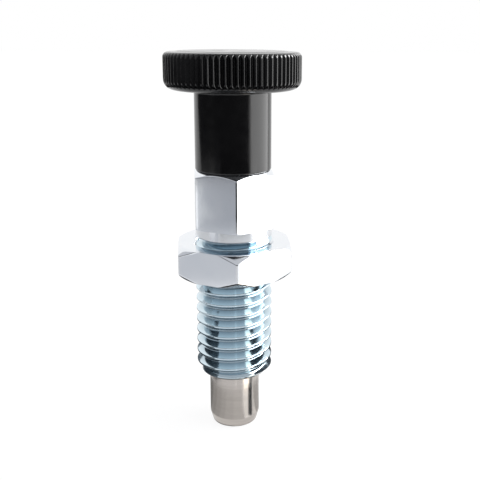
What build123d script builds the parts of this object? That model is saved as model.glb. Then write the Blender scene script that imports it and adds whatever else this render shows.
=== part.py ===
from build123d import *

import os
from math import ceil, cos, radians, tan

# Indexing plunger: a sprung pin in a threaded guide body, drawn back by a
# fluted knob, with a lock nut on the thread. Sizes are in millimetres.
# The origin is on the axis at the hexagon's lower face, where the mounting
# shank begins. +Z runs up the axis to the knob.

# Clearances
running_gap = 0.05      # radial, pin and stem in their bores, nut on thread

# Guide body: hexagon bar, turned down to a threaded shank
hex_across_flats = 11.9
hex_height = 8.8
hex_edge_radius = 0.3
hex_top_circle = 11.3       # diameter left flat on top by the chamfer
hex_base_circle = 13.2      # the lower chamfer only breaks the corners
hex_chamfer_angle = 30
collar_diameter = 11.9      # plain turned length above the thread
collar_length = 1.45
thread_diameter = 11.95     # M12 major diameter
thread_pitch = 1.75
thread_crest = 0.22         # flat left along the crest
thread_root = 0.29          # flat along the groove's floor
thread_depth = 1.07
thread_lead_in = -0.44      # height at which a crest crosses the +X side
thread_overlap = 0.1        # the ridge is sunk into its core by this much
shank_length = 24.0
shank_end_chamfer = 0.85
bore_mouth_chamfer = 0.2
top_wall = 1.8              # roof of the bore, the spring's upper seat

# Plunger pin: one turning, locating nose, guide diameter, stem and screw end
pin_diameter = 7.95
pin_projection = 9.0        # nose beyond the shank at rest
pin_tip_chamfer_length = 1.5
pin_tip_chamfer_width = 0.42
pin_tip_rounding = 0.2
pin_guide_length = 10.0     # what stays in the bore at rest
stem_diameter = 4.5
stem_screw_diameter = 4.0
stem_screw_length = 7.0
stem_screw_chamfer = 0.5

# Spring: round wire, ends ground flat
spring_outer_diameter = 7.2
spring_wire = 0.7
spring_wire_sides = 6       # the wire is drawn with this many flats
spring_turns = 6.5

# Lock nut
nut_across_flats = 17.2
nut_height = 4.95
nut_gap = 2.5               # between the hexagon and the nut
nut_face_circle = 17.65
nut_chamfer_angle = 41
nut_turn = -1.0             # how far it has been screwed from the hexagon's flats
nut_edge_radius = 0.15
nut_thread_mouth = 0.45

# Knob: one moulding, hub and fluted head
knob_diameter = 20.7
head_height = 5.55
head_lower_radius = 1.6
head_upper_radius = 0.8
head_bevel_drop = 0.12      # outer ring of the top face falls by this much
head_disc_diameter = 16.6
head_crown = 0.15           # rise of the disc at its middle
flute_count = 76
flute_width = 0.6           # at the head's outside
flute_depth = 0.36
hub_diameter = 11.7
hub_length = 12.15
hub_edge_radius = 0.25
hub_root_radius = 0.5

# Brass bush moulded into the hub
bush_diameter = 6.5
bush_length = 8.5
bush_recess = 0.2           # below the hub's seat, clear of the hexagon
bush_groove_width = 2.0
bush_groove_depth = 0.5
bush_edge_chamfer = 0.4

# Levels along the axis
bore_roof = hex_height - top_wall
pin_tip = -shank_length - pin_projection
pin_shoulder = -shank_length + pin_guide_length
nut_top = -nut_gap
nut_base = nut_top - nut_height
knob_base = hex_height
head_base = knob_base + hub_length
head_top = head_base + head_height
bush_base = knob_base + bush_recess
bush_top = bush_base + bush_length
screw_end = bush_base + stem_screw_length

# Radii shared by pieces that fit together
bore_radius = pin_diameter / 2 + running_gap
stem_hole_radius = stem_diameter / 2 + running_gap
screw_hole_radius = stem_screw_diameter / 2 + running_gap

os.makedirs("parts", exist_ok=True)


def chamfer_outline(across_flats, base, top, base_circle, top_circle, angle):
    """Half section of the turned shape that chamfers both ends of a hexagon bar.

    Each end stays flat out to its circle, and slopes from there to the corners.
    """
    corner_radius = across_flats / 2 / cos(radians(30))
    slope = tan(radians(angle))
    Polyline(
        (0, base),
        (base_circle / 2, base),
        (corner_radius, base + (corner_radius - base_circle / 2) * slope),
        (corner_radius, top - (corner_radius - top_circle / 2) * slope),
        (top_circle / 2, top),
        (0, top),
        close=True,
    )


def bush_outline():
    """Half section of the bush, without its tapped hole."""
    radius = bush_diameter / 2
    middle = (bush_base + bush_top) / 2
    Polyline(
        (0, bush_base),
        (radius, bush_base),
        (radius, middle - bush_groove_width / 2),
        (radius - bush_groove_depth, middle - bush_groove_width / 2 + bush_groove_depth),
        (radius - bush_groove_depth, middle + bush_groove_width / 2 - bush_groove_depth),
        (radius, middle + bush_groove_width / 2),
        (radius, bush_top - bush_edge_chamfer),
        (radius - bush_edge_chamfer, bush_top),
        (0, bush_top),
        close=True,
    )


# Guide body -----------------------------------------------------------------
# The hexagon's corners point along -Y and +Y. The thread is a right-hand ridge
# swept round its core, past both ends of the shank, and trimmed to the shank's
# outline with its chamfered end.

core_radius = thread_diameter / 2 - thread_depth
ridge_foot = thread_pitch - thread_root
ridge_flank = (ridge_foot - thread_crest) / 2 / thread_depth
sunk_radius = core_radius - thread_overlap
sunk_half_width = ridge_foot / 2 + ridge_flank * thread_overlap
thread_turns = ceil(shank_length / thread_pitch) + 2
thread_start = thread_lead_in - thread_pitch * (thread_turns - 1)
shank_tip_radius = thread_diameter / 2 - shank_end_chamfer
trim_radius = thread_diameter / 2 + thread_pitch

with BuildPart() as shank:
    with BuildSketch(Plane.XY.offset(thread_start - 2 * thread_pitch)):
        Circle(core_radius)
    extrude(amount=thread_pitch * (thread_turns + 4))
    with BuildLine() as thread_helix:
        Helix(thread_pitch, thread_pitch * thread_turns, core_radius, center=(0, 0, thread_start))
    with BuildSketch(Plane.XZ):
        with BuildLine():
            Polyline(
                (sunk_radius, thread_start - sunk_half_width),
                (thread_diameter / 2, thread_start - thread_crest / 2),
                (thread_diameter / 2, thread_start + thread_crest / 2),
                (sunk_radius, thread_start + sunk_half_width),
                close=True,
            )
        make_face()
    sweep(path=thread_helix.line, is_frenet=True)
    with BuildSketch(Plane.XZ):
        with BuildLine():
            Polyline(
                (0, -shank_length),
                (shank_tip_radius, -shank_length),
                (trim_radius, -shank_length + trim_radius - shank_tip_radius),
                (trim_radius, -collar_length),
                (0, -collar_length),
                close=True,
            )
        make_face()
    revolve(axis=Axis.Z, mode=Mode.INTERSECT)

with BuildPart() as guide_body:
    with BuildSketch():
        RegularPolygon(hex_across_flats / 2, side_count=6, major_radius=False, rotation=30)
        fillet(vertices(), radius=hex_edge_radius)
    extrude(amount=hex_height)
    with BuildSketch(Plane.XZ):
        with BuildLine():
            chamfer_outline(
                hex_across_flats, 0, hex_height, hex_base_circle, hex_top_circle, hex_chamfer_angle
            )
        make_face()
    revolve(axis=Axis.Z, mode=Mode.INTERSECT)

    with BuildSketch():
        Circle(collar_diameter / 2)
    extrude(amount=-collar_length)
    add(shank.part)

    with BuildSketch(Plane.XZ):
        with BuildLine():
            Polyline(
                (0, -shank_length),
                (bore_radius + bore_mouth_chamfer, -shank_length),
                (bore_radius, -shank_length + bore_mouth_chamfer),
                (bore_radius, bore_roof),
                (stem_hole_radius, bore_roof),
                (stem_hole_radius, hex_height),
                (0, hex_height),
                close=True,
            )
        make_face()
    revolve(axis=Axis.Z, mode=Mode.SUBTRACT)

guide_body.part.label = "guide_body"
export_step(guide_body.part, "parts/guide_body.step")


# Lock nut -------------------------------------------------------------------

with BuildPart() as lock_nut:
    with BuildSketch(Plane.XY.offset(nut_base)):
        RegularPolygon(nut_across_flats / 2, side_count=6, major_radius=False, rotation=30 + nut_turn)
        fillet(vertices(), radius=nut_edge_radius)
    extrude(amount=nut_height)
    with BuildSketch(Plane.XZ):
        with BuildLine():
            chamfer_outline(
                nut_across_flats, nut_base, nut_top, nut_face_circle, nut_face_circle, nut_chamfer_angle
            )
        make_face()
    revolve(axis=Axis.Z, mode=Mode.INTERSECT)
    with BuildSketch(Plane.XY.offset(nut_base)):
        Circle(thread_diameter / 2 + running_gap)
    extrude(amount=nut_height, mode=Mode.SUBTRACT)
    chamfer(
        edges().filter_by(GeomType.CIRCLE).filter_by(lambda edge: edge.radius < nut_face_circle / 2 - 1),
        length=nut_thread_mouth,
    )

lock_nut.part.label = "lock_nut"
export_step(lock_nut.part, "parts/lock_nut.step")


# Plunger pin ----------------------------------------------------------------

with BuildPart() as plunger_pin:
    with BuildSketch(Plane.XZ):
        with BuildLine():
            Polyline(
                (0, pin_tip),
                (pin_diameter / 2 - pin_tip_chamfer_width, pin_tip),
                (pin_diameter / 2, pin_tip + pin_tip_chamfer_length),
                (pin_diameter / 2, pin_shoulder),
                (stem_diameter / 2, pin_shoulder),
                (stem_diameter / 2, bush_base),
                (stem_screw_diameter / 2, bush_base),
                (stem_screw_diameter / 2, screw_end - stem_screw_chamfer),
                (stem_screw_diameter / 2 - stem_screw_chamfer, screw_end),
                (0, screw_end),
                close=True,
            )
        make_face()
    revolve(axis=Axis.Z)
    fillet(faces().sort_by(Axis.Z)[0].edges(), radius=pin_tip_rounding)

plunger_pin.part.label = "plunger_pin"
export_step(plunger_pin.part, "parts/plunger_pin.step")


# Spring ---------------------------------------------------------------------
# The wire's centre line runs from seat to seat, and both ends are ground flat
# to their seats.

coil_radius = (spring_outer_diameter - spring_wire) / 2
spring_length = bore_roof - pin_shoulder
coil_pitch = spring_length / spring_turns

with BuildPart() as spring:
    with BuildLine() as coil:
        Helix(coil_pitch, spring_length, coil_radius, center=(0, 0, pin_shoulder))
    with BuildSketch(Plane(coil.line @ 0, z_dir=coil.line % 0)):
        RegularPolygon(spring_wire / 2, side_count=spring_wire_sides, major_radius=False)
    sweep(path=coil.line, is_frenet=True)
    with BuildSketch(Plane.XY.offset(pin_shoulder)):
        Circle(bore_radius)
    extrude(amount=spring_length, mode=Mode.INTERSECT)

spring.part.label = "spring"
export_step(spring.part, "parts/spring.step")


# Knob insert ----------------------------------------------------------------

with BuildPart() as knob_insert:
    with BuildSketch(Plane.XZ):
        with BuildLine():
            bush_outline()
        make_face()
    revolve(axis=Axis.Z)
    with BuildSketch(Plane.XY.offset(bush_base)):
        Circle(screw_hole_radius)
    extrude(amount=bush_length, mode=Mode.SUBTRACT)

knob_insert.part.label = "knob_insert"
export_step(knob_insert.part, "parts/knob_insert.step")


# Knob -----------------------------------------------------------------------
# The V-shaped flutes are cut straight through the head, so they taper out where
# its upper and lower edges are rounded. A rib, not a flute, faces each way along X
# and Y. The bush's pocket follows the bush.

hub_radius = hub_diameter / 2
knob_radius = knob_diameter / 2
disc_radius = head_disc_diameter / 2
disc_edge = head_top + head_bevel_drop

with BuildPart() as knob:
    with BuildSketch(Plane.XZ):
        with BuildLine():
            Polyline(
                (0, disc_edge + head_crown),
                (0, knob_base),
                (hub_radius, knob_base),
                (hub_radius, head_base),
                (knob_radius, head_base),
                (knob_radius, head_top),
                (disc_radius, disc_edge),
            )
            TangentArc((0, disc_edge + head_crown), (disc_radius, disc_edge), tangent=(1, 0))
        make_face()
        fillet(vertices().sort_by_distance((hub_radius, knob_base))[0], radius=hub_edge_radius)
        fillet(vertices().sort_by_distance((hub_radius, head_base))[0], radius=hub_root_radius)
        fillet(vertices().sort_by_distance((knob_radius, head_base))[0], radius=head_lower_radius)
        fillet(vertices().sort_by_distance((knob_radius, head_top))[0], radius=head_upper_radius)
    revolve(axis=Axis.Z)

    with BuildSketch(Plane.XY.offset(head_base)):
        with PolarLocations(knob_radius, flute_count, start_angle=180 / flute_count):
            Polygon((-flute_depth, 0), (flute_depth, flute_width), (flute_depth, -flute_width), align=None)
    extrude(amount=head_height, mode=Mode.SUBTRACT)

    with BuildSketch(Plane.XZ):
        with BuildLine():
            bush_outline()
        make_face()
    revolve(axis=Axis.Z, mode=Mode.SUBTRACT)
    with BuildSketch(Plane.XY.offset(knob_base)):
        Circle(bush_diameter / 2)
    extrude(amount=bush_recess, mode=Mode.SUBTRACT)

knob.part.label = "knob"
export_step(knob.part, "parts/knob.step")
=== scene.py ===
import math

import bmesh
import bpy
from mathutils import Euler, Matrix


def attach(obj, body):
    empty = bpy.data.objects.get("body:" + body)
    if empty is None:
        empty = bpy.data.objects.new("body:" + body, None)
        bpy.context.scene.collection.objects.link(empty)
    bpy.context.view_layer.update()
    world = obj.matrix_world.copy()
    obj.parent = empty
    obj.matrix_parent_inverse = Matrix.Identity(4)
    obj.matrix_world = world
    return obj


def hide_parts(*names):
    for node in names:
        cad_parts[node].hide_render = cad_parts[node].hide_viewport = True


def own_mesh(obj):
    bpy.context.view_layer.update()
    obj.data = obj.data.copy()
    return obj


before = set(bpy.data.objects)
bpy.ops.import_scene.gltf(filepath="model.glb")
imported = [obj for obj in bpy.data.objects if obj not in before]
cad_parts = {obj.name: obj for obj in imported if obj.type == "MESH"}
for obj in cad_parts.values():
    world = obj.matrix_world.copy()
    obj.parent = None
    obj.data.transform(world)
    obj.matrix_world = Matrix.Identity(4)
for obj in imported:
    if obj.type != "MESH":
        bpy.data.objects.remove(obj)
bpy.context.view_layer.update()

# Guide body ----------------------------------------------------------------
# The steel body that everything else hangs on: hexagon bar, turned down to a
# short plain collar and a shank with an M12 x 1.75 thread, bored from its nose,
# then zinc plated and blue passivated. It screws into the plate or jig.

MM = 0.001                  # sizes are in millimetres, and Blender's in metres
hexagon_across_flats = 11.9
hexagon_height = 8.8
hexagon_edge_radius = 0.3
hexagon_top_circle = 11.3   # across, where the chamfers of the corners begin
hexagon_base_circle = 13.2
hexagon_chamfer_angle = math.radians(30)
hexagon_edge_softness = 0.12
collar_radius = 5.95
collar_length = 1.45
collar_chamfer = 0.05
thread_radius = 5.975
thread_pitch = 1.75
thread_crest_flat = 0.125 * thread_pitch  # from the metric thread form
thread_root_flat = 0.167 * thread_pitch
thread_depth = 0.6134 * thread_pitch
thread_crest_height = -thread_pitch / 2  # of one crest, on the side towards -Y
thread_runout = 0.35        # the cut deepens over this length below the collar
thread_crest_softness = 0.05
thread_root_softness = 0.16
shank_length = 24.0
shank_end_radius = 5.1
bore_radius = 4.025
bore_mouth_radius = 4.225
bore_roof = 7.0
bore_edge_softness = 0.06
stem_hole_radius = 2.3
turned_columns = 180        # mesh columns round each turned surface
flat_columns = 22           # mesh columns on each flat
corner_columns = 5          # mesh columns round each corner
corner_steps = 4            # mesh steps round each softened edge
thread_corner_steps = 3     # mesh steps round each of the thread's edges
bend_share = 0.45           # the most of a run that the bend at its end takes up
brace_from = 0.8            # runs longer than this are braced at both ends
brace_reach = 0.04          # from each end
weld_distance = 0.0005      # points closer than this become one
sliver_length = 0.0002      # edges shorter than this go
along_y = math.radians(-90)  # one corner of the hexagon points along -Y


def hexagon_outline(across_flats, edge_radius, turn):
    """Points round a hexagon with rounded corners, as (angle, distance from the axis)."""
    apothem = across_flats / 2
    centre = (apothem - edge_radius) / math.cos(math.radians(30))
    half_flat = (apothem - edge_radius) * math.tan(math.radians(30))
    outline = []
    for corner in range(6):
        toward = along_y + turn + math.radians(60 * corner)
        for step in range(corner_columns + 1):
            swing = math.radians(-30 + 60 * step / corner_columns)
            x = centre + edge_radius * math.cos(swing)
            y = edge_radius * math.sin(swing)
            outline.append((toward + math.atan2(y, x), math.hypot(x, y)))
        for step in range(1, flat_columns):
            side = half_flat * (2 * step / flat_columns - 1)
            turned = toward + math.radians(30) + math.atan2(side, apothem)
            outline.append((turned, math.hypot(side, apothem)))
    return outline


def soft_corner(start, corner, end, steps=corner_steps):
    """Points on a smooth bend from start to end, inside the corner."""
    points = []
    for step in range(steps + 1):
        t = step / steps
        points.append(tuple(
            (1 - t) ** 2 * a + 2 * t * (1 - t) * b + t ** 2 * c
            for a, b, c in zip(start, corner, end)
        ))
    return points


def softened(path, softness):
    """A path of (radius, height) points with each inner corner bent to that softness."""
    points = [path[0]]
    for before, corner, after in zip(path, path[1:], path[2:]):
        ends = []
        for other in (before, after):
            length = max(math.dist(corner, other), 1e-6)
            reach = min(softness, bend_share * length) / length
            ends.append(tuple(c + reach * (o - c) for c, o in zip(corner, other)))
        points += soft_corner(ends[0], corner, ends[1])
    points.append(path[-1])
    return points


def braced(rows):
    """Rows of points, with one more just inside each end of a long run.

    They keep the run's shading flat up to its ends.
    """
    rows = list(rows)
    more = [rows[0]]
    for row, following in zip(rows, rows[1:]):
        longest = max(math.dist(a, b) for a, b in zip(row, following))
        if longest > brace_from:
            for t in (brace_reach / longest, 1 - brace_reach / longest):
                more.append([
                    tuple(p + t * (q - p) for p, q in zip(a, b))
                    for a, b in zip(row, following)
                ])
        more.append(following)
    return more


def rings_from_paths(angles, paths):
    """Rings of points from one (radius, height) path for each angle."""
    return [
        [
            (radius * math.cos(angle), radius * math.sin(angle), height)
            for angle, (radius, height) in zip(angles, row)
        ]
        for row in braced(zip(*paths))
    ]


def thread_form():
    """One pitch of the thread's section, as (height, depth below the crest)."""
    crest = thread_crest_flat / 2
    root = thread_pitch / 2 - thread_root_flat / 2
    corners = (
        (-crest, 0), (crest, 0), (root, thread_depth), (thread_pitch - root, thread_depth),
    )
    softness = [thread_crest_softness] * 2 + [thread_root_softness] * 2
    form = []
    for index, (height, below) in enumerate(corners):
        before_height, before_below = corners[index - 1]
        after_height, after_below = corners[(index + 1) % 4]
        if index == 0:
            before_height -= thread_pitch
        if index == 3:
            after_height += thread_pitch
        before = (before_height, before_below)
        after = (after_height, after_below)
        ends = []
        for other in (before, after):
            length = math.dist((height, below), other)
            reach = min(softness[index], bend_share * length) / length
            ends.append((height + reach * (other[0] - height), below + reach * (other[1] - below)))
        form += soft_corner(ends[0], (height, below), ends[1], thread_corner_steps)
    next_turn = (form[0][0] + thread_pitch, form[0][1])
    return [row[0] for row in braced([[point] for point in form + [next_turn]])][:-1]


def thread_rings(angles, base, top, radius_at):
    """Rings that follow the helix, from base to top, and how many rows it climbs in one turn.

    radius_at gives the surface's distance from the axis, from a height and a
    depth below the crest.
    """
    form = thread_form()
    first = math.floor((base - thread_crest_height) / thread_pitch) - 1
    last = math.ceil((top - thread_crest_height) / thread_pitch) + 1
    rings = []
    for turn in range(first, last + 1):
        for height, below in form:
            ring = []
            for angle in angles:
                turns = turn + (angle - along_y) / math.tau
                z = min(max(thread_crest_height + height + thread_pitch * turns, base), top)
                radius = radius_at(z, below)
                ring.append((radius * math.cos(angle), radius * math.sin(angle), z))
            rings.append(ring)
    return rings, len(form)


def add_object(name, data):
    """An object in the scene that shows that data."""
    thing = bpy.data.objects.new(name, data)
    bpy.context.scene.collection.objects.link(thing)
    return thing


def skin(name, bands):
    """A mesh object from bands of rings in millimetres.

    Each band comes with how many rows it climbs in one turn. A ring may have
    fewer points than the ring before it, by a whole number of times.
    """
    mesh = bmesh.new()
    for rings, climb in bands:
        rows = [[mesh.verts.new([c * MM for c in point]) for point in ring] for ring in rings]
        for row in range(len(rows) - 1):
            columns = len(rows[row + 1])
            every = len(rows[row]) // columns
            for column in range(columns):
                after = (column + 1) % columns
                lift = climb if after == 0 else 0
                if every > 1:
                    first = column * every
                    fan = [
                        rows[row][step % len(rows[row])]
                        for step in range(first, first + every + 1)
                    ]
                    mesh.faces.new(fan + [rows[row + 1][after], rows[row + 1][column]])
                elif row + 1 + lift < len(rows):
                    mesh.faces.new((
                        rows[row][column],
                        rows[row + lift][after],
                        rows[row + 1 + lift][after],
                        rows[row + 1][column],
                    ))
    bmesh.ops.remove_doubles(mesh, verts=mesh.verts, dist=weld_distance * MM)
    bmesh.ops.dissolve_degenerate(mesh, edges=mesh.edges, dist=sliver_length * MM)
    bmesh.ops.recalc_face_normals(mesh, faces=mesh.faces)
    data = bpy.data.meshes.new(name)
    mesh.to_mesh(data)
    mesh.free()
    data.shade_smooth()
    piece = add_object(name, data)
    weighted = piece.modifiers.new("flats stay flat", "WEIGHTED_NORMAL")
    weighted.keep_sharp = True
    weighted.weight = 100
    return piece


def linear(colour):
    """An sRGB hex colour as linear red, green, blue and alpha."""
    channels = [int(colour[i:i + 2], 16) / 255 for i in (1, 3, 5)]
    return [
        c / 12.92 if c <= 0.04045 else ((c + 0.055) / 1.055) ** 2.4 for c in channels
    ] + [1.0]


def add_node(tree, kind, inputs, **settings):
    """Adds a shader node. Each input is given a value, or linked to another node's output."""
    node = tree.nodes.new(kind)
    for setting, value in settings.items():
        setattr(node, setting, value)
    for socket, value in inputs.items():
        if isinstance(value, bpy.types.NodeSocket):
            tree.links.new(value, node.inputs[socket])
        else:
            node.inputs[socket].default_value = value
    return node


def new_material(name):
    """A material, its node tree and its shader."""
    material = bpy.data.materials.new(name)
    material.use_nodes = True
    return material, material.node_tree, material.node_tree.nodes["Principled BSDF"]


def zinc_plate(name, dark, light, unevenness):
    """Bright zinc plate, blue passivated: a mirror with a cloudy tint.

    The passivation gives it soft clouds 4 mm across, barely bluer than the zinc
    between them, and its polish varies with them. The steel's own unevenness,
    0.9 mm across and that deep in mm, shows through the thin plate and breaks
    the edges of what it mirrors.
    """
    material, tree, shader = new_material(name)
    place = add_node(tree, "ShaderNodeTexCoord", {})
    clouds = add_node(tree, "ShaderNodeTexNoise", {
        "Vector": place.outputs["Object"], "Scale": 1 / (4 * MM),
    })
    tint = add_node(tree, "ShaderNodeMix", {
        0: clouds.outputs["Fac"], 6: linear(dark), 7: linear(light),
    }, data_type="RGBA")
    tree.links.new(tint.outputs[2], shader.inputs["Base Color"])
    ripples = add_node(tree, "ShaderNodeTexNoise", {
        "Vector": place.outputs["Object"], "Scale": 1 / (0.9 * MM),
        "Detail": 3.0, "Roughness": 0.6,
    })
    bump = add_node(tree, "ShaderNodeBump", {
        "Height": ripples.outputs["Fac"], "Distance": unevenness * MM, "Strength": 1.0,
    })
    tree.links.new(bump.outputs["Normal"], shader.inputs["Normal"])
    smears = add_node(tree, "ShaderNodeMapRange", {
        "Value": clouds.outputs["Fac"], "From Min": 0.35, "From Max": 0.7,
        "To Min": 0.09, "To Max": 0.14,
    })
    tree.links.new(smears.outputs[0], shader.inputs["Roughness"])
    shader.inputs["Metallic"].default_value = 1.0
    return material


def painted_root_shade(material, root):
    """Painted shade down in the thread: the zinc's colour darkens towards the roots, where shade
    falls.
    """
    tree = material.node_tree
    shader = tree.nodes["Principled BSDF"]
    plate = shader.inputs["Base Color"].links[0].from_socket
    place = add_node(tree, "ShaderNodeTexCoord", {})
    across = add_node(tree, "ShaderNodeVectorMath", {
        0: place.outputs["Object"], 1: (1, 1, 0),
    }, operation="MULTIPLY")
    radius = add_node(tree, "ShaderNodeVectorMath", {0: across.outputs[0]}, operation="LENGTH")
    height = add_node(tree, "ShaderNodeMapRange", {
        "Value": radius.outputs["Value"],
        "From Min": (thread_radius - thread_depth) * MM, "From Max": thread_radius * MM,
    })
    root_shade = add_node(tree, "ShaderNodeMix", {
        0: height.outputs[0], 6: linear(root), 7: plate,
    }, data_type="RGBA")
    tree.links.new(root_shade.outputs[2], shader.inputs["Base Color"])


hexagon_sides = hexagon_outline(hexagon_across_flats, hexagon_edge_radius, 0)
hexagon_angles = [angle for angle, _ in hexagon_sides]
turned_angles = [along_y + math.tau * step / turned_columns for step in range(turned_columns)]
top_flat = hexagon_top_circle / 2
base_flat = hexagon_base_circle / 2

hexagon_paths = []
for _, distance in hexagon_sides:
    top_drop = (distance - top_flat) * math.tan(hexagon_chamfer_angle)
    base_drop = max(0.0, (distance - base_flat) * math.tan(hexagon_chamfer_angle))
    hexagon_paths.append(softened([
        (stem_hole_radius, hexagon_height),
        (top_flat, hexagon_height),
        (distance, hexagon_height - top_drop),
        (distance, base_drop),
        (min(distance, base_flat), 0.0),
        (collar_radius, 0.0),
    ], hexagon_edge_softness))


def shank_radius(height, below):
    """The shank's radius: its cut fades out under the collar, and its end is chamfered."""
    cut = min(1.0, (-collar_length - height) / thread_runout)
    return min(thread_radius - below * cut, shank_end_radius + height + shank_length)


collar_path = [
    (collar_radius, 0.0),
    (collar_radius, -collar_length + collar_chamfer),
    (thread_radius, -collar_length),
]
bore_path = [
    (shank_end_radius, -shank_length),
    (bore_mouth_radius, -shank_length),
    (bore_radius, -shank_length + bore_mouth_radius - bore_radius),
    (bore_radius, bore_roof),
    (stem_hole_radius, bore_roof),
    (stem_hole_radius, hexagon_height),
]
bore_path = softened(bore_path, bore_edge_softness)
guide_body = skin("zinc_plated_guide_body", [
    (rings_from_paths(hexagon_angles, hexagon_paths), 0),
    (rings_from_paths(turned_angles, [collar_path] * turned_columns), 0),
    thread_rings(turned_angles, -shank_length, -collar_length, shank_radius),
    (rings_from_paths(turned_angles, [bore_path] * turned_columns), 0),
])
guide_body.data.materials.append(zinc_plate("bright zinc plate", "#dfe3e8", "#e8eaed", 0.0015))
thread_zinc = zinc_plate("blue passivated zinc thread", "#ccdee8", "#d8e7ee", 0.008)
# The thread's roots are painted darker here, as painted shade.
painted_root_shade(thread_zinc, "#a9bac4")
guide_body.data.materials.append(thread_zinc)
for face in guide_body.data.polygons:
    face.material_index = 1 if face.center.z < -collar_length * MM else 0
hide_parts("guide_body")
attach(guide_body, "guide")

# Lock nut ------------------------------------------------------------------
# A thin hexagon nut on the shank, chamfered on both faces, zinc plated like the
# body. It is run down against the plate to lock the plunger's depth.

nut_across_flats = 17.2
nut_top = -2.5
nut_base = -7.45
nut_circle = 17.65          # across, where the chamfers of the corners begin
nut_chamfer_angle = math.radians(41)
nut_turn = math.radians(-1.0)
nut_edge_radius = 0.4
nut_edge_softness = 0.3
nut_mouth_radius = 6.475    # of the countersink in each face
nut_clearance = 0.05        # between its thread and the shank's

nut_outline = hexagon_outline(nut_across_flats, nut_edge_radius, nut_turn)
nut_angles = [angle for angle, _ in nut_outline]
nut_paths = []
for angle, distance in nut_outline:
    flat = min(distance, nut_circle / 2)
    drop = (distance - flat) * math.tan(nut_chamfer_angle)
    nut_paths.append(softened([
        (nut_mouth_radius, nut_top),
        (flat, nut_top),
        (distance, nut_top - drop),
        (distance, nut_base + drop),
        (flat, nut_base),
        (nut_mouth_radius, nut_base),
    ], nut_edge_softness))


def nut_hole_radius(height, below):
    """The tapped hole's radius, opened by a countersink at each mouth."""
    mouth = nut_mouth_radius - min(nut_top - height, height - nut_base)
    return max(thread_radius + nut_clearance - below, mouth)


lock_nut = skin("zinc_plated_lock_nut", [
    (rings_from_paths(nut_angles, nut_paths), 0),
    thread_rings(nut_angles, nut_base, nut_top, nut_hole_radius),
])
lock_nut.data.materials.append(bpy.data.materials["bright zinc plate"])
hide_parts("lock_nut")
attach(lock_nut, "nut")

# Plunger pin ---------------------------------------------------------------
# The locating pin: stainless steel, turned in one piece with its stem, with a
# tapered, chamfered nose. It slides in the guide body's bore.

pin_radius = 3.975
pin_tip = -33.0
pin_taper_radius = 3.61     # where the taper meets the tip's rounding
pin_flat_radius = 3.355     # the flat end
pin_taper_length = 1.5
pin_tip_rounding = 0.2
pin_shoulder = -14.0
pin_edge_softness = 0.06
stem_radius = 2.25
stem_end = 9.0
screw_radius = 2.0
screw_end = 16.0
screw_chamfer = 0.5
pin_columns = 128

pin_path = [(0.0, pin_tip)]
pin_path += soft_corner(
    (pin_flat_radius, pin_tip),
    (pin_flat_radius + pin_tip_rounding, pin_tip),
    (pin_taper_radius, pin_tip + pin_tip_rounding),
)
pin_path += [
    (pin_radius, pin_tip + pin_taper_length),
    (pin_radius, pin_shoulder),
    (stem_radius, pin_shoulder),
    (stem_radius, stem_end),
    (screw_radius, stem_end),
    (screw_radius, screw_end - screw_chamfer),
    (screw_radius - screw_chamfer, screw_end),
    (0.0, screw_end),
]
pin_path = softened(pin_path, pin_edge_softness)
pin_angles = [math.tau * step / pin_columns for step in range(pin_columns)]
plunger_pin = skin("turned_plunger_pin", [
    (rings_from_paths(pin_angles, [pin_path] * pin_columns), 0),
])


def turned_stainless():
    """Stainless steel, finely turned: a warm satin grey with fine rings round the axis.

    The turning marks are 0.05 mm apart on the real pin. They are drawn as
    uneven bands 0.25 mm apart here, so that they show.
    """
    material, tree, shader = new_material("finely turned stainless steel")
    place = add_node(tree, "ShaderNodeTexCoord", {})
    flattened = add_node(tree, "ShaderNodeVectorMath", {
        0: place.outputs["Object"], 1: (0.04, 0.04, 1.0),
    }, operation="MULTIPLY")
    marks = add_node(tree, "ShaderNodeTexNoise", {
        "Vector": flattened.outputs[0], "Scale": 1 / (0.25 * MM),
        "Detail": 4.0, "Roughness": 0.7,
    })
    grey = add_node(tree, "ShaderNodeMix", {
        0: marks.outputs["Fac"], 6: linear("#bdb6b0"), 7: linear("#d6d0ca"),
    }, data_type="RGBA")
    tree.links.new(grey.outputs[2], shader.inputs["Base Color"])
    bump = add_node(tree, "ShaderNodeBump", {
        "Height": marks.outputs["Fac"], "Distance": 0.0015 * MM, "Strength": 1.0,
    })
    tree.links.new(bump.outputs["Normal"], shader.inputs["Normal"])
    shader.inputs["Metallic"].default_value = 1.0
    shader.inputs["Roughness"].default_value = 0.2
    return material


plunger_pin.data.materials.append(turned_stainless())
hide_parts("plunger_pin")
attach(plunger_pin, "plunger")

# Spring --------------------------------------------------------------------
# A compression spring of round wire in the guide body's bore. Its ends are
# ground flat, on the pin's shoulder and the bore's roof. It pushes the pin out,
# and it is pressed shorter as the pin is drawn back.

coil_radius = 3.25
wire_radius = 0.35
coil_turns = 6.5
spring_base = pin_shoulder
spring_play = 0.01          # between each ground end and its seat
wire_sides = 12
steps_a_turn = 40


def closed_end(ring):
    """A ring's middle point, once for each of its sides, to close the wire there."""
    middle = tuple(sum(point[axis] for point in ring) / wire_sides for axis in range(3))
    return [middle] * wire_sides


wire_rings = []
for step in range(round(coil_turns * steps_a_turn) + 1):
    turned = math.tau * step / steps_a_turn
    height = spring_base + (bore_roof - spring_base) * turned / (math.tau * coil_turns)
    ring = []
    for side in range(wire_sides):
        around = math.tau * side / wire_sides
        radius = coil_radius + wire_radius * math.cos(around)
        z = height + wire_radius * math.sin(around)
        z = min(max(z, spring_base + spring_play), bore_roof - spring_play)
        ring.append((radius * math.cos(turned), radius * math.sin(turned), z))
    wire_rings.append(ring)
wire_rings = [closed_end(wire_rings[0])] + wire_rings + [closed_end(wire_rings[-1])]
spring = skin("coiled_spring", [(wire_rings, 0)])


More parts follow.
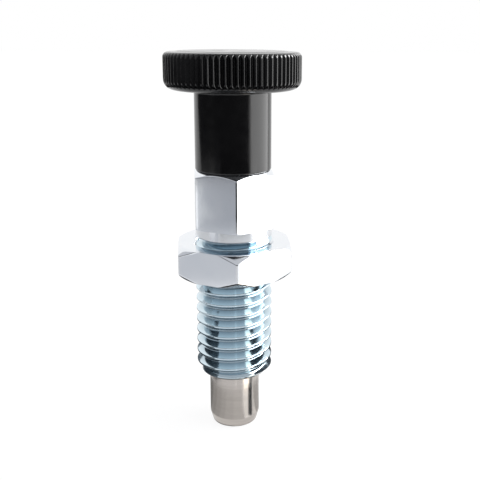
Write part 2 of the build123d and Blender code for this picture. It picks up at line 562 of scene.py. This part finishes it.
def spring_wire():
    """Spring wire, cold drawn: dull grey, with a faint mottle left by the drawing, 0.5 mm wide."""
    material, tree, shader = new_material("drawn spring wire")
    place = add_node(tree, "ShaderNodeTexCoord", {})
    mottle = add_node(tree, "ShaderNodeTexNoise", {
        "Vector": place.outputs["Object"], "Scale": 1 / (0.5 * MM),
    })
    grey = add_node(tree, "ShaderNodeMix", {
        0: mottle.outputs["Fac"], 6: linear("#6d6b68"), 7: linear("#8f8d8a"),
    }, data_type="RGBA")
    tree.links.new(grey.outputs[2], shader.inputs["Base Color"])
    shader.inputs["Metallic"].default_value = 1.0
    shader.inputs["Roughness"].default_value = 0.35
    return material


spring.data.materials.append(spring_wire())
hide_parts("spring")
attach(spring, "spring_carrier")
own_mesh(spring)

# Knob insert ---------------------------------------------------------------
# A brass bush with a waist, moulded into the knob's hub. The pin's screw end is
# screwed into it.


def turned_brass():
    """Free-cutting brass, as turned: yellow, with faint rings round the axis.

    The turning marks are drawn 0.4 mm apart, coarser than the real ones, so that
    they show.
    """
    material, tree, shader = new_material("turned brass")
    place = add_node(tree, "ShaderNodeTexCoord", {})
    rings = add_node(tree, "ShaderNodeTexWave", {
        "Vector": place.outputs["Object"], "Scale": 1 / (1.2 * MM),
    }, bands_direction="Z")
    yellow = add_node(tree, "ShaderNodeMix", {
        0: rings.outputs["Fac"], 6: linear("#c9a55c"), 7: linear("#d6b673"),
    }, data_type="RGBA")
    tree.links.new(yellow.outputs[2], shader.inputs["Base Color"])
    shader.inputs["Metallic"].default_value = 1.0
    shader.inputs["Roughness"].default_value = 0.28
    return material


knob_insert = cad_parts["knob_insert"]
knob_insert.data.materials.clear()
knob_insert.data.materials.append(turned_brass())

# Knob ----------------------------------------------------------------------
# Black glass-filled nylon, moulded in one piece round the bush: a straight hub
# and a head with straight flutes for grip, and a slightly raised disc on top.

knob_radius = 10.35
knob_base = 8.8
head_base = 20.95
head_top = 26.5
head_upper_radius = 0.8
head_lower_radius = 1.6
disc_radius = 8.3
disc_rise = 0.12
disc_crown = 0.15
disc_edge_softness = 0.25
disc_step_width = 0.12      # the foot of the disc's edge, outward and down
disc_step_drop = 0.06
disc_steps = 11             # mesh steps from the disc's middle to its edge
hub_radius = 5.85
hub_edge_radius = 0.25
hub_root_radius = 0.5
flute_count = 76
flute_half_width = 0.30     # at the knob's outside
flute_depth = 0.36
flute_root_rounding = 0.05
rib_edge_rounding = 0.05
pocket_radius = 3.25
pocket_top = 17.5
pocket_rim = 4.0            # on the hub's lower face, round the pocket
pocket_edge_softness = 0.1
hub_seam = 15.0             # below this height the hub's mesh is coarser
hub_seam_height = 0.1
hub_every = 9               # one column there for this many of the head's
flute_columns = (           # across one flute, in shares of the flutes' pitch
    -0.5, -0.44, -0.395, -0.365, -0.335, -0.30, -0.2, -0.1, -0.045,
    0.0, 0.045, 0.1, 0.2, 0.30, 0.335, 0.365, 0.395, 0.44,
)


def arc(centre, radius, begin, finish, steps):
    """Points on an arc in (radius, height), its angles in degrees from outward, up."""
    points = []
    for step in range(steps + 1):
        swing = math.radians(begin + (finish - begin) * step / steps)
        points.append((centre[0] + radius * math.cos(swing), centre[1] + radius * math.sin(swing)))
    return points


def smaller(a, b, blend):
    """The smaller of two radii, rounded where they meet."""
    h = max(0.0, blend - abs(a - b)) / blend
    return min(a, b) - h * h * blend / 4


def flute_floor(offset):
    """How far from the axis a flute's surface is, that far round the head from its middle."""
    slope = flute_depth / flute_half_width
    rounded = math.hypot(offset, flute_root_rounding) - flute_root_rounding
    return knob_radius - flute_depth + slope * rounded


disc_edge = head_top + disc_rise
head_path = [
    (disc_radius * step / disc_steps, disc_edge + disc_crown * (1 - (step / disc_steps) ** 2))
    for step in range(disc_steps)
]
head_path += soft_corner(
    (disc_radius - disc_edge_softness, disc_edge),
    (disc_radius, disc_edge),
    (disc_radius + disc_step_width, disc_edge - disc_step_drop),
)
head_path += arc(
    (knob_radius - head_upper_radius, head_top - head_upper_radius), head_upper_radius, 90, 0, 12
)
head_path += arc(
    (knob_radius - head_lower_radius, head_base + head_lower_radius), head_lower_radius, 0, -90, 14
)
head_path += arc(
    (hub_radius + hub_root_radius, head_base - hub_root_radius), hub_root_radius, 90, 180, 6
)
head_path.append((hub_radius, hub_seam))
hub_path = [(hub_radius, hub_seam - hub_seam_height)]
hub_path += arc(
    (hub_radius - hub_edge_radius, knob_base + hub_edge_radius), hub_edge_radius, 0, -90, 5
)
hub_path += softened([
    (pocket_rim, knob_base),
    (pocket_radius, knob_base),
    (pocket_radius, pocket_top),
    (0.0, pocket_top),
], pocket_edge_softness)

flute_pitch = math.tau / flute_count
flutes_end = head_base - 0.01  # just below the head, so that its whole underside has them
head_angles = []
head_paths = []
for flute in range(flute_count):
    for column in flute_columns:
        head_angles.append(along_y + (flute + 0.5 + column) * flute_pitch)
        floor_radius = flute_floor(column * flute_pitch * knob_radius)
        head_paths.append([
            (smaller(radius, floor_radius, rib_edge_rounding), height)
            if height > flutes_end else (radius, height)
            for radius, height in head_path
        ])
hub_angles = head_angles[::hub_every]


def moulded_nylon():
    """Glass-filled nylon from a polished mould: deep black and glossy, not quite even.

    The glass fibres just under the skin give it a faint mottle, drawn 0.3 mm
    wide so that it shows, and the flow of the melt leaves soft waves 2 mm apart
    in the gloss.
    """
    material, tree, shader = new_material("glossy moulded black nylon")
    place = add_node(tree, "ShaderNodeTexCoord", {})
    fibres = add_node(tree, "ShaderNodeTexNoise", {
        "Vector": place.outputs["Object"], "Scale": 1 / (0.3 * MM), "Detail": 3.0,
    })
    black = add_node(tree, "ShaderNodeMix", {
        0: fibres.outputs["Fac"], 6: linear("#060607"), 7: linear("#09090a"),
    }, data_type="RGBA")
    tree.links.new(black.outputs[2], shader.inputs["Base Color"])
    flow = add_node(tree, "ShaderNodeTexNoise", {
        "Vector": place.outputs["Object"], "Scale": 1 / (2 * MM),
    })
    gloss = add_node(tree, "ShaderNodeMapRange", {
        "Value": flow.outputs["Fac"], "From Min": 0.35, "From Max": 0.65,
        "To Min": 0.13, "To Max": 0.19,
    })
    tree.links.new(gloss.outputs[0], shader.inputs["Roughness"])
    bump = add_node(tree, "ShaderNodeBump", {
        "Height": fibres.outputs["Fac"], "Distance": 0.002 * MM, "Strength": 1.0,
    })
    tree.links.new(bump.outputs["Normal"], shader.inputs["Normal"])
    return material


knob_rings = rings_from_paths(head_angles, head_paths)
knob_rings += rings_from_paths(hub_angles, [hub_path] * len(hub_angles))
knob = skin("fluted_pull_knob", [(knob_rings, 0)])
knob.data.materials.append(moulded_nylon())
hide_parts("knob")
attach(knob, "plunger")

# Table ---------------------------------------------------------------------
# White paper that the plunger stands on. It ends in a round edge in front, and
# the studio in front of the edge is dark.

camera_side = 6.79          # the camera's place: to the right of the axis, back and up
camera_back = 111.0
camera_height = 29.66
camera_heading = math.radians(-7.2)  # from +Y
camera_x = camera_side * math.cos(camera_heading) + camera_back * math.sin(camera_heading)
camera_y = camera_side * math.sin(camera_heading) - camera_back * math.cos(camera_heading)
toward_camera = math.atan2(camera_y, camera_x)
front = (math.cos(toward_camera), math.sin(toward_camera))
right = (-front[1], front[0])
table_radius = 0.22         # of the round edge, and how far back and aside it goes, in metres
table_back = 2.0
table_edge_turn = 108       # how far round the edge goes each way, in degrees
table_edge_steps = 48
table_height = pin_tip * MM


def studio_point(ahead, across, height):
    """A point that far towards the camera from the plunger, and to its right, in metres."""
    return (front[0] * ahead + right[0] * across, front[1] * ahead + right[1] * across, height)


def stage_mesh(name, points, faces, material):
    """An object of the studio, which is no part of the plunger."""
    data = bpy.data.meshes.new(name)
    data.from_pydata(points, [], faces)
    data.materials.append(material)
    thing = add_object(name, data)
    return thing


def white_paper():
    """White paper: matt, and seen by the camera as white with the object's shadow on it.

    A fifth of what the camera sees is the lit paper, and the rest is plain
    white. From 40 mm behind the plunger on, the steel mirrors that white too,
    fully from 160 mm.
    """
    material, tree, shader = new_material("white paper")
    shader.inputs["Base Color"].default_value = linear("#dcdcdc")
    shader.inputs["Roughness"].default_value = 0.9
    place = add_node(tree, "ShaderNodeTexCoord", {})
    ahead = add_node(tree, "ShaderNodeVectorMath", {
        0: place.outputs["Object"], 1: (*front, 0),
    }, operation="DOT_PRODUCT")
    behind = add_node(tree, "ShaderNodeMapRange", {
        "Value": ahead.outputs["Value"], "From Min": -0.04, "From Max": -0.16,
    })
    ray = add_node(tree, "ShaderNodeLightPath", {})
    mirrored = add_node(tree, "ShaderNodeMath", {
        0: ray.outputs["Is Glossy Ray"], 1: behind.outputs[0],
    }, operation="MULTIPLY")
    shown = add_node(tree, "ShaderNodeMath", {
        0: mirrored.outputs[0], 1: ray.outputs["Is Camera Ray"],
    }, operation="MAXIMUM")
    share = add_node(tree, "ShaderNodeMath", {0: shown.outputs[0], 1: 0.8}, operation="MULTIPLY")
    white = add_node(tree, "ShaderNodeEmission", {"Color": (1, 1, 1, 1), "Strength": 1.1})
    paper = add_node(tree, "ShaderNodeMixShader", {
        0: share.outputs[0], 1: shader.outputs["BSDF"], 2: white.outputs["Emission"],
    })
    tree.links.new(paper.outputs[0], tree.nodes["Material Output"].inputs["Surface"])
    return material


table_edge = []
for step in range(table_edge_steps + 1):
    swing = math.radians(-table_edge_turn + 2 * table_edge_turn * step / table_edge_steps)
    ahead = table_radius * math.cos(swing)
    across = table_radius * math.sin(swing)
    table_edge.append(studio_point(ahead, across, table_height))
table_edge.append(studio_point(-table_back, table_back, table_height))
table_edge.append(studio_point(-table_back, -table_back, table_height))
stage_mesh("table", table_edge, [list(range(len(table_edge)))], white_paper())

# Studio --------------------------------------------------------------------
# White walls behind and at the sides, a dark room in front with a pale ceiling,
# a softbox close on the right and a strip light above it. The black flags, the
# cards and the two black rings show only in what the steel and nylon mirror:
# they are painted reflections, painted highlights and painted shade.

dark_room_from = -126       # degrees to the right of the camera
dark_room_to = 48
dark_room_blur = 0.05
ceiling_from = -0.08        # the upward part of a direction where the ceiling begins
ceiling_full = 0.10
wall_white = (1.1, 1.1, 1.1, 1)
room_black = (0.05, 0.05, 0.055, 1)
ceiling_grey = (0.62, 0.63, 0.66, 1)
background_white = (1, 1, 1, 1)

world = bpy.data.worlds.new("studio")
bpy.context.scene.world = world
world.use_nodes = True
sky = world.node_tree
direction = add_node(sky, "ShaderNodeTexCoord", {})
upward = add_node(sky, "ShaderNodeSeparateXYZ", {0: direction.outputs["Generated"]})
level = add_node(sky, "ShaderNodeVectorMath", {
    0: direction.outputs["Generated"], 1: (1, 1, 0),
}, operation="MULTIPLY")
compass = add_node(sky, "ShaderNodeVectorMath", {0: level.outputs[0]}, operation="NORMALIZE")
room_middle = toward_camera + math.radians((dark_room_from + dark_room_to) / 2)
room_edge = math.cos(math.radians((dark_room_to - dark_room_from) / 2))
facing = add_node(sky, "ShaderNodeVectorMath", {
    0: compass.outputs[0], 1: (math.cos(room_middle), math.sin(room_middle), 0),
}, operation="DOT_PRODUCT")
room = add_node(sky, "ShaderNodeMapRange", {
    "Value": facing.outputs["Value"],
    "From Min": room_edge - dark_room_blur, "From Max": room_edge + dark_room_blur,
}, interpolation_type="SMOOTHSTEP")
walls = add_node(sky, "ShaderNodeMix", {
    0: room.outputs[0], 6: wall_white, 7: room_black,
}, data_type="RGBA")
above = add_node(sky, "ShaderNodeMapRange", {
    "Value": upward.outputs["Z"], "From Min": ceiling_from, "From Max": ceiling_full,
}, interpolation_type="SMOOTHSTEP")
over_room = add_node(sky, "ShaderNodeMath", {
    0: above.outputs[0], 1: room.outputs[0],
}, operation="MULTIPLY")
mirrored = add_node(sky, "ShaderNodeMix", {
    0: over_room.outputs[0], 6: walls.outputs[2], 7: ceiling_grey,
}, data_type="RGBA")
ray = add_node(sky, "ShaderNodeLightPath", {})
shown = add_node(sky, "ShaderNodeMix", {
    0: ray.outputs["Is Camera Ray"], 6: mirrored.outputs[2], 7: background_white,
}, data_type="RGBA")
sky.links.new(shown.outputs[2], sky.nodes["Background"].inputs["Color"])
sky.nodes["Background"].inputs["Strength"].default_value = 1.0


def softbox(name, azimuth, distance, middle, aimed_at, width, tall, radiance):
    """An area lamp at that azimuth, facing the plunger's axis at a height.

    The azimuth is in degrees to the right of the camera, the sizes and heights
    are in metres, and a radiance of 1 is seen as white.
    """
    lamp = bpy.data.lights.new(name, "AREA")
    lamp.shape = "RECTANGLE"
    lamp.size = width
    lamp.size_y = tall
    lamp.energy = radiance * math.pi * width * tall
    box = add_object(name, lamp)
    swing = math.radians(azimuth)
    box.location = studio_point(distance * math.cos(swing), distance * math.sin(swing), middle)
    aim = math.atan2(middle - aimed_at, distance)
    box.rotation_euler = (math.radians(90) - aim, 0, toward_camera + swing + math.radians(90))
    box.visible_camera = False
    return box


softbox("softbox right", azimuth=88, distance=0.10, middle=0.045, aimed_at=0.045,
        width=0.145, tall=0.15, radiance=2.3)
strip_light = softbox("strip light", azimuth=92, distance=0.33, middle=0.21, aimed_at=0.0,
                      width=0.50, tall=0.16, radiance=12.0)
strip_light.visible_diffuse = False

black_cloth, _, cloth_shader = new_material("black cloth")  # matt, a dim blue-grey in this light
cloth_shader.inputs["Base Color"].default_value = linear("#454c52")
cloth_shader.inputs["Roughness"].default_value = 0.9


def only_mirrored(thing):
    """Lets a flag or a card show in reflections and nowhere else."""
    thing.visible_camera = False
    thing.visible_diffuse = False
    thing.visible_shadow = False


def black_flag(name, ahead, across, height):
    """A black flag, from its two limits in each direction, in millimetres."""
    corners = [studio_point(a * MM, c * MM, h * MM) for a in ahead for c in across for h in height]
    faces = [
        (0, 1, 3, 2), (4, 6, 7, 5), (0, 4, 5, 1), (2, 3, 7, 6), (0, 2, 6, 4), (1, 5, 7, 3),
    ]
    only_mirrored(stage_mesh(name, corners, faces, black_cloth))


# Painted dark reflections: the flags show only in the steel's mirror, as dark bands down the
# thread and the pin and a dark line over the hexagon's left facet.
black_flag("flag right", (-50, 9), (10, 11), (-27, -18.5))
black_flag("flag left", (-40, 9), (-12, -11), (-29, -18))
black_flag("flag for the pin", (2.9, 4.5), (4.9, 9.0), (-33, -27.5))
black_flag("flag above", (-5, 33), (-72, -2), (120, 121))

card_steps = 24             # mesh steps along a card


def card(name, azimuths, distances, height, colour, strength=1.0):
    """A level card round the plunger, from one azimuth and one distance to another.

    It glows as if it were evenly lit: a painted reflection, which only the steel
    and nylon show. Azimuths are degrees to the right of the camera, and the rest
    is in millimetres.
    """
    material, _, shader = new_material(name)
    shader.inputs["Base Color"].default_value = (0, 0, 0, 1)
    shader.inputs["Specular IOR Level"].default_value = 0.0
    shader.inputs["Emission Color"].default_value = linear(colour)
    shader.inputs["Emission Strength"].default_value = strength
    corners = []
    for distance in distances:
        for step in range(card_steps + 1):
            swing = math.radians(azimuths[0] + (azimuths[1] - azimuths[0]) * step / card_steps)
            ahead = distance * math.cos(swing) * MM
            across = distance * math.sin(swing) * MM
            corners.append(studio_point(ahead, across, height * MM))
    outer = card_steps + 1
    faces = [(step, step + 1, step + 1 + outer, step + outer) for step in range(card_steps)]
    only_mirrored(stage_mesh(name, corners, faces, material))


on_table = pin_tip + 0.3
under_nut = -10.0
under_knob = 20.3
# Painted reflections: the grey card paints the table in front as shaded, and the bright and thin
# cards paint highlights on the thread and the pin.
card("grey card", (-84, 38), (17, 80), on_table, "#ecedf0")
card("bright card", (38, 62), (17, 62), on_table, "#fff6ea", 3.1)
card("thin card", (4, 6.5), (17, 80), on_table + 0.1, "#ffffff", 1.4)
# Painted reflections: these cards paint the nut's and the hexagon's facets lighter or darker, and
# the black one paints a dark reflection.
card("card for the nut", (-75, -45), (80.5, 125), on_table, "#cfd1d6")
card("card for the hexagon", (-55.5, -40), (126, 215), on_table, "#acafb5")
card("white card for the hexagon", (-75, -55.5), (126, 195), on_table, "#ffffff", 1.3)
card("black card for the hexagon", (-39, 50), (126, 219), on_table, "#101010")
card("bright card for the nut", (60, 76), (70, 216), on_table, "#ffffff", 1.6)
# Painted shadow in the pin's reflection: these cards grow darker towards its left, where the
# plunger's shadow lies on the table. The bright card paints a highlight, and the card under the
# tip paints the pin's contact shadow.
for begin, end, shade in (
    (-180, -108, "#858585"),
    (-108, -80, "#a5a5a5"),
    (-80, -55, "#b4b4b4"),
    (-55, -35, "#c0c0c0"),
    (-35, -5, "#cbcbcb"),
    (-5, 30, "#d4d4d4"),
    (85, 130, "#bebebe"),
):
    card("card for the pin", (begin, end), (5.3, 16.5), on_table, shade)
card("bright card for the pin", (34, 62), (5.3, 16.5), on_table, "#ffffff", 1.1)
card("painted contact shadow under the tip", (-180, 180), (0.5, 5.2), on_table, "#e4e4e4")
# Painted shade: two dark rings, seen only in reflections, paint the shade under the nut's chamfer
# and under the knob's rounding.
card("painted shade under the nut", (-84, 84), (9, 12.5), under_nut, "#0c0c0c")
card("painted shade under the knob", (-115, 115), (10.5, 12.6), under_knob, "#0c0c0c")

# Camera --------------------------------------------------------------------
# A long view from in front and a little above, with the picture shifted in its
# frame, because the plunger doesn't stand in the middle of it.

sensor_width = 36.0
image_width = 480
focal_length = 733.07       # in pixels of that image
camera_pitch = 12.7         # degrees down
camera_roll = 0.0068        # radians

camera_data = bpy.data.cameras.new("camera")
camera_data.sensor_width = sensor_width
camera_data.lens = focal_length / image_width * sensor_width
camera_data.shift_x = -0.0775
camera_data.shift_y = -0.0933
camera_data.clip_start = 0.005
camera = add_object("camera", camera_data)
camera.location = (camera_x * MM, camera_y * MM, camera_height * MM)
tilt = Euler((math.radians(90 - camera_pitch), 0, camera_heading)).to_matrix()
camera.rotation_euler = (tilt @ Matrix.Rotation(camera_roll, 3, "Z")).to_euler()
bpy.context.scene.camera = camera
bpy.context.scene.view_settings.view_transform = "Standard"
